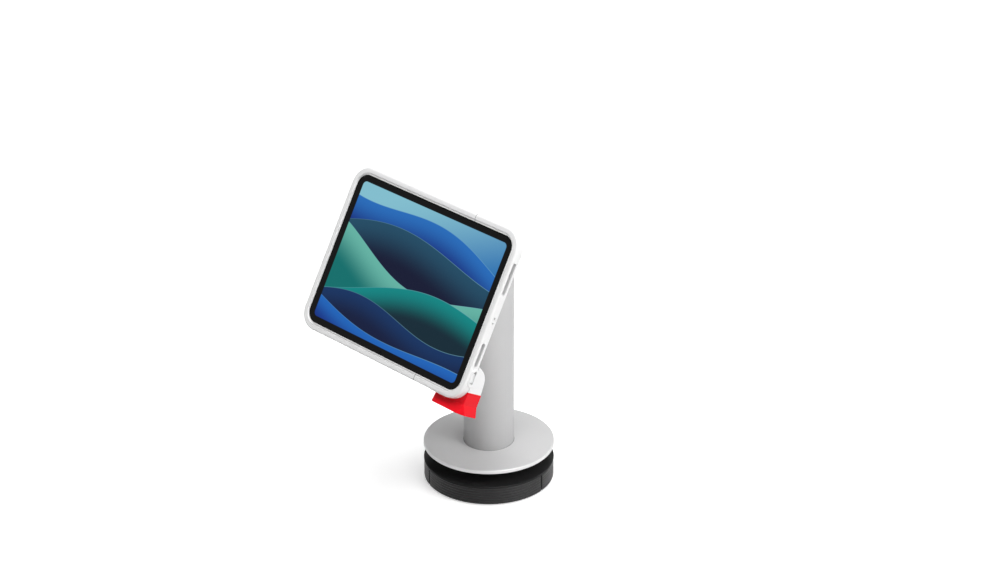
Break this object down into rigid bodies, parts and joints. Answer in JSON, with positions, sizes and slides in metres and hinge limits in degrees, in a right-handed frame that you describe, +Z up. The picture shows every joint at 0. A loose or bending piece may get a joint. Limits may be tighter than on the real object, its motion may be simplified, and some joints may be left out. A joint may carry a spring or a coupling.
{
  "type": "tablet pillar mount",
  "caption": "Counter stand for a tablet: weighted swivel base, silver pillar, tilting and turning magnet head, white lift-off case with a red code-scanning hood.",
  "frame": {"origin": "centre of the base's foot ring, on the counter", "axes": "+Z up along the pillar, the screen faces -Y, +X to the right as the user sees the screen"},
  "size_m": [0.2648, 0.2462, 0.373],
  "materials": {
    "skirt_rubber": "ribbed, matt",
    "foot_rubber": "matt",
    "plain_steel": "brushed",
    "fastener_steel": "zinc plated",
    "ballast": "rough, painted",
    "gloss_black": "mirror gloss",
    "bushing_bronze": "turned",
    "dark_metal": "satin black",
    "silver": "satin silver",
    "head_silver": "satin silver",
    "head_plastic": "fine grain",
    "friction_pad": "matt",
    "magnet_nickel": "nickel plated",
    "contact_gold": "gold plated",
    "case_white": "satin white",
    "key_grey": "satin white",
    "inner_plastic": "matt",
    "flex_amber": "film",
    "tablet_metal": "fine blasted",
    "screen_glass": "polished, black border",
    "display": "lit picture",
    "lens_black": "polished",
    "hood_red": "satin red",
    "mirror_glass": "silvered"
  },
  "bodies": {
    "base": {"foot_ring": "foot_rubber", "base_plate": "plain_steel", "base_weight": "ballast", "skirt_right": "skirt_rubber", "skirt_rear": "skirt_rubber", "skirt_left": "skirt_rubber", "base_cover": "gloss_black", "base_screws": "fastener_steel", "cable_grommet": "foot_rubber", "stop_pin": "fastener_steel", "swivel_bushing": "bushing_bronze", "friction_washer": "plain_steel"},
    "column": {"spindle": "dark_metal", "thrust_ring": "plain_steel", "spindle_nut": "plain_steel", "base_disc": "silver", "pillar": "silver", "set_screws": "fastener_steel", "pillar_cap": "silver", "neck_arm": "head_silver", "neck_backing": "plain_steel", "neck_bolt": "fastener_steel", "neck_nut": "plain_steel", "tilt_pin": "fastener_steel", "tilt_nut": "plain_steel", "friction_discs": "friction_pad"},
    "tilt_yoke": {"head_yoke": "head_silver", "turn_washer": "bushing_bronze", "turn_clip": "fastener_steel"},
    "head": {"head_dish": "head_plastic", "head_face": "head_plastic", "face_screws": "fastener_steel", "head_magnets": "magnet_nickel", "contact_block": "head_plastic", "contact_pins": "contact_gold"},
    "case": {"case_shell": "case_white", "shell_lip": "case_white", "keeper_ring": "plain_steel", "pad_carrier": "inner_plastic", "contact_pads": "contact_gold", "flex_lead": "flex_amber", "dock_plug": "inner_plastic", "tablet_body": "tablet_metal", "cover_glass": "screen_glass", "display_panel": "display", "front_camera": "lens_black", "rear_camera": "lens_black", "rear_lens": "lens_black"},
    "end_cap": {"case_end": "case_white", "end_lip": "case_white", "hood_housing": "case_white", "hood_mirror": "mirror_glass", "hood_screws": "fastener_steel", "scan_hood": "hood_red"},
    "key": {"power_key": "key_grey"},
    "button": {"power_button": "tablet_metal"}
  },
  "joints": [
    {"name": "swivel", "type": "hinge", "parent": "base", "child": "column", "pos_m": [0, 0, 0.02], "axis": [0, 0, 1], "range_deg": [-165, 165]},
    {"name": "tilt", "type": "hinge", "parent": "column", "child": "tilt_yoke", "pos_m": [0, -0.08463, 0.269], "axis": [1, 0, 0], "range_deg": [-45, 30]},
    {"name": "turn", "type": "hinge", "parent": "tilt_yoke", "child": "head", "pos_m": [0, -0.121, 0.29], "axis": [0, -0.866, 0.5], "range_deg": [-90, 90]},
    {"name": "case_lift", "type": "slide", "parent": "head", "child": "case", "axis": [0, -0.866, 0.5], "range_m": [0, 0.06]},
    {"name": "end_cap_slide", "type": "slide", "parent": "case", "child": "end_cap", "axis": [1, 0, 0], "range_m": [0, 0.08]},
    {"name": "key_press", "type": "slide", "parent": "end_cap", "child": "key", "axis": [-1, 0, 0], "range_m": [0, 0.0004], "stiffness_N_per_m": 800, "springref_m": -0.0005},
    {"name": "button_press", "type": "slide", "parent": "case", "child": "button", "axis": [-1, 0, 0], "range_m": [0, 0.0004]}
  ],
  "couplings": [
    {"joint": "button_press", "follows": "key_press", "ratio": 1}
  ]
}
